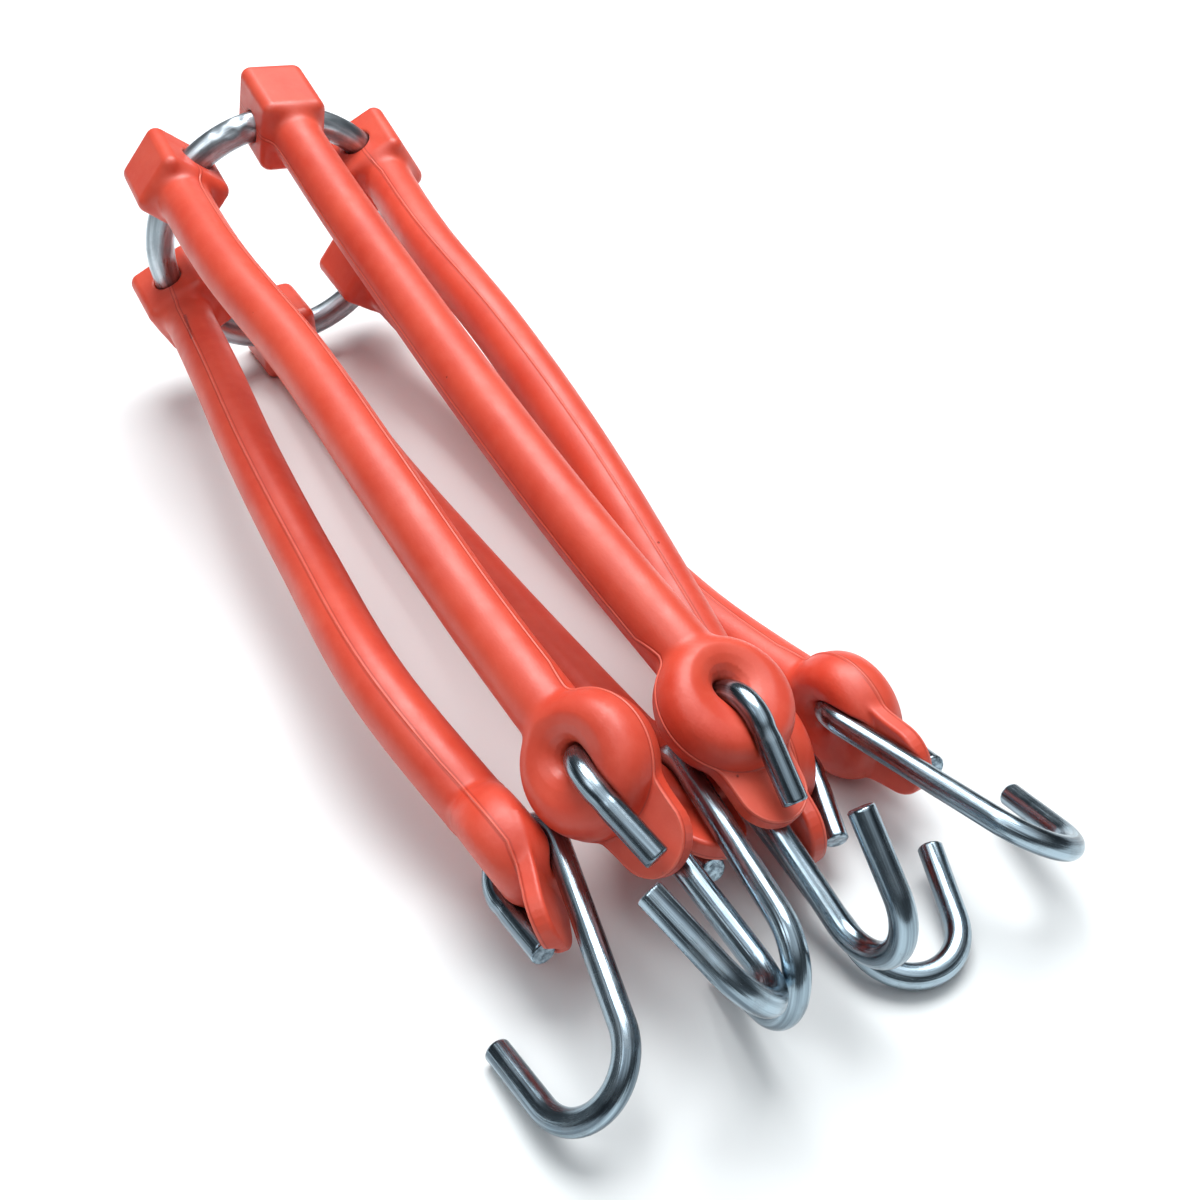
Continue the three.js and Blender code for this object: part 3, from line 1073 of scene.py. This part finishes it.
def make_hook(key, one, number):
    line = hook_line(HOOK_DEGREES)
    m = hook_frame(one)
    t = np.gradient(line, axis=0)
    t /= np.linalg.norm(t, axis=1)[:, None]
    normals = np.stack([t[:, 1], -t[:, 0], t[:, 2]], axis=1)
    binormals = np.tile([0.0, 0.0, 1.0], (len(line), 1))
    sides = HOOK_SIDES
    gone = np.concatenate([[0], np.cumsum(np.linalg.norm(np.diff(line, axis=0), axis=1))])
    # A shallow nip all round where the bending tool held the short leg
    nip = np.exp(-(((gone - NIP_AT) / NIP_HALF) ** 4)) * NIP_DEPTH
    radii = HOOK_WIRE / 2 - nip[:, None].repeat(sides, axis=1)
    # A small chamfer at both cut ends
    ends = (line[0] + t[0] * CHAMFER, line[-1] - t[-1] * CHAMFER)
    line = np.vstack([line[0], ends[0], line[1:-1], ends[1], line[-1]])
    normals = np.vstack([normals[0], normals, normals[-1]])
    binormals = np.vstack([binormals[0], binormals, binormals[-1]])
    radii = np.vstack([radii[0] - CHAMFER, radii, radii[-1] - CHAMFER])
    vertices, faces = tube_mesh(line, normals, binormals, radii, sides)
    # Each hook has its own stretch of the steel's pattern
    apart = 7.3
    wire = wire_places(line, sides, apart * number)
    last = (len(line) - 1) * sides
    faces.append(list(range(sides))[::-1])
    faces.append([last + k for k in range(sides)])
    vertices = world(vertices, m)
    hook = mesh_piece("wire_" + key, vertices, faces, hook_steel, wire=wire, flat_faces=2)
    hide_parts("hook_" + key)


def make_ring():
    t = np.linspace(0, 2 * math.pi, RING_TURNS, endpoint=False)
    outward = np.stack([0 * t, np.cos(t), np.sin(t)], axis=1)
    sides = RING_SIDES
    radii = np.full((RING_TURNS, sides), RING_WIRE / 2)
    round_wire = np.linspace(0, 2 * math.pi, sides, endpoint=False)
    for at, side, depth in RING_SPOTS:
        away = (t[:, None] - math.radians(at)) * RING_RADIUS
        aside = (round_wire[None] - math.radians(side)) * RING_WIRE / 2
        radii -= depth * np.exp(-(((away**2 + aside**2) / SPOT_HALF**2) ** 2))
    axis = np.tile([1.0, 0.0, 0.0], (RING_TURNS, 1))
    vertices, faces = tube_mesh(outward * RING_RADIUS, outward, axis, radii, sides, closed=True)
    faces = [f[::-1] for f in faces]
    wire = wire_places(outward * RING_RADIUS, sides)
    # The streaks meet again where the ring closes
    way = np.repeat(t, sides)
    swing = 3.0
    wire[:, 2] = swing * np.cos(way)
    wire[:, 1] += swing * np.sin(way)
    ring = mesh_piece("round_ring", world(vertices, RING_FRAME), faces, ring_steel, wire=wire)
    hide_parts("ring")


for number, (key, one) in enumerate(STRAPS.items()):
    make_strap(key, one)
    make_hook(key, one, number)
make_ring()


def make_floor():
    mesh = bpy.data.meshes.new("floor")
    far = 6
    mesh.from_pydata([(-far, -far, 0), (far, -far, 0), (far, far, 0), (-far, far, 0)], [], [(0, 1, 2, 3)])
    floor = bpy.data.objects.new("floor", mesh)
    bpy.context.scene.collection.objects.link(floor)
    m = bpy.data.materials.new("pale floor")
    m.use_nodes = True
    shader = m.node_tree.nodes["Principled BSDF"]
    shader.inputs["Base Color"].default_value = FLOOR_COLOUR
    shader.inputs["Roughness"].default_value = 0.9
    mesh.materials.append(m)


# The camera as fitted to the photograph: its place in metres, its view, and its focal length in the
# pixels of a frame of 1200 x 1200
CAMERA_AT = (0.29928, -0.14301, 0.28816)
CAMERA_VIEW = (-0.64745, 0.38338, -0.65866)
FOCAL_PIXELS = 1411.4
FRAME_PIXELS = 1200
SENSOR = 36


def make_camera():
    camera = bpy.data.cameras.new("camera")
    camera.sensor_fit = "HORIZONTAL"
    camera.sensor_width = SENSOR
    camera.lens = SENSOR * FOCAL_PIXELS / FRAME_PIXELS
    camera.clip_start = 0.01
    camera.clip_end = 50
    holder = bpy.data.objects.new("camera", camera)
    holder.location = CAMERA_AT
    holder.rotation_euler = Vector(CAMERA_VIEW).to_track_quat("-Z", "Y").to_euler()
    bpy.context.scene.collection.objects.link(holder)
    bpy.context.scene.camera = holder


def area_light(name, place, aim, size, power):
    light = bpy.data.lights.new(name, "AREA")
    light.shape = "RECTANGLE"
    light.size = size
    light.size_y = size
    light.energy = power
    holder = bpy.data.objects.new(name, light)
    holder.location = place
    holder.rotation_euler = (Vector(aim) - Vector(place)).to_track_quat("-Z", "Y").to_euler()
    bpy.context.scene.collection.objects.link(holder)


# The studio's colour against height: 0 is level and all below it, 1 is straight up
STUDIO_STOPS = [
    (0.0, (0.30, 0.32, 0.34)),
    (0.10, (0.10, 0.11, 0.12)),
    (0.50, (0.06, 0.065, 0.07)),
    (0.66, (0.20, 0.21, 0.22)),
    (0.82, (0.92, 0.95, 0.98)),
    (1.0, (1.08, 1.11, 1.14)),
]


def make_world():
    """A studio as polished wire reflects it: bright overhead, dark walls, paler towards the floor."""
    studio = bpy.data.worlds.new("studio")
    bpy.context.scene.world = studio
    studio.use_nodes = True
    nodes = studio.node_tree.nodes
    links = studio.node_tree.links
    where = nodes.new("ShaderNodeTexCoord")
    parts = nodes.new("ShaderNodeSeparateXYZ")
    ramp = nodes.new("ShaderNodeValToRGB")
    links.new(where.outputs["Generated"], parts.inputs["Vector"])
    links.new(parts.outputs["Z"], ramp.inputs["Fac"])
    links.new(ramp.outputs["Color"], nodes["Background"].inputs["Color"])
    nodes["Background"].inputs["Strength"].default_value = 1.0
    for at, _ in STUDIO_STOPS[1:-1]:
        ramp.color_ramp.elements.new(at)
    for element, (at, colour) in zip(ramp.color_ramp.elements, STUDIO_STOPS):
        element.position = at
        element.color = (*colour, 1)


make_floor()
make_camera()
make_world()
area_light("key", place=(-0.6, 0.45, 1.75), aim=(0, 0, 0), size=1.3, power=40)
area_light("front", place=(0.1, -0.75, 1.2), aim=(-0.05, 0, 0), size=0.5, power=1.8)
bpy.context.scene.view_settings.view_transform = "Standard"
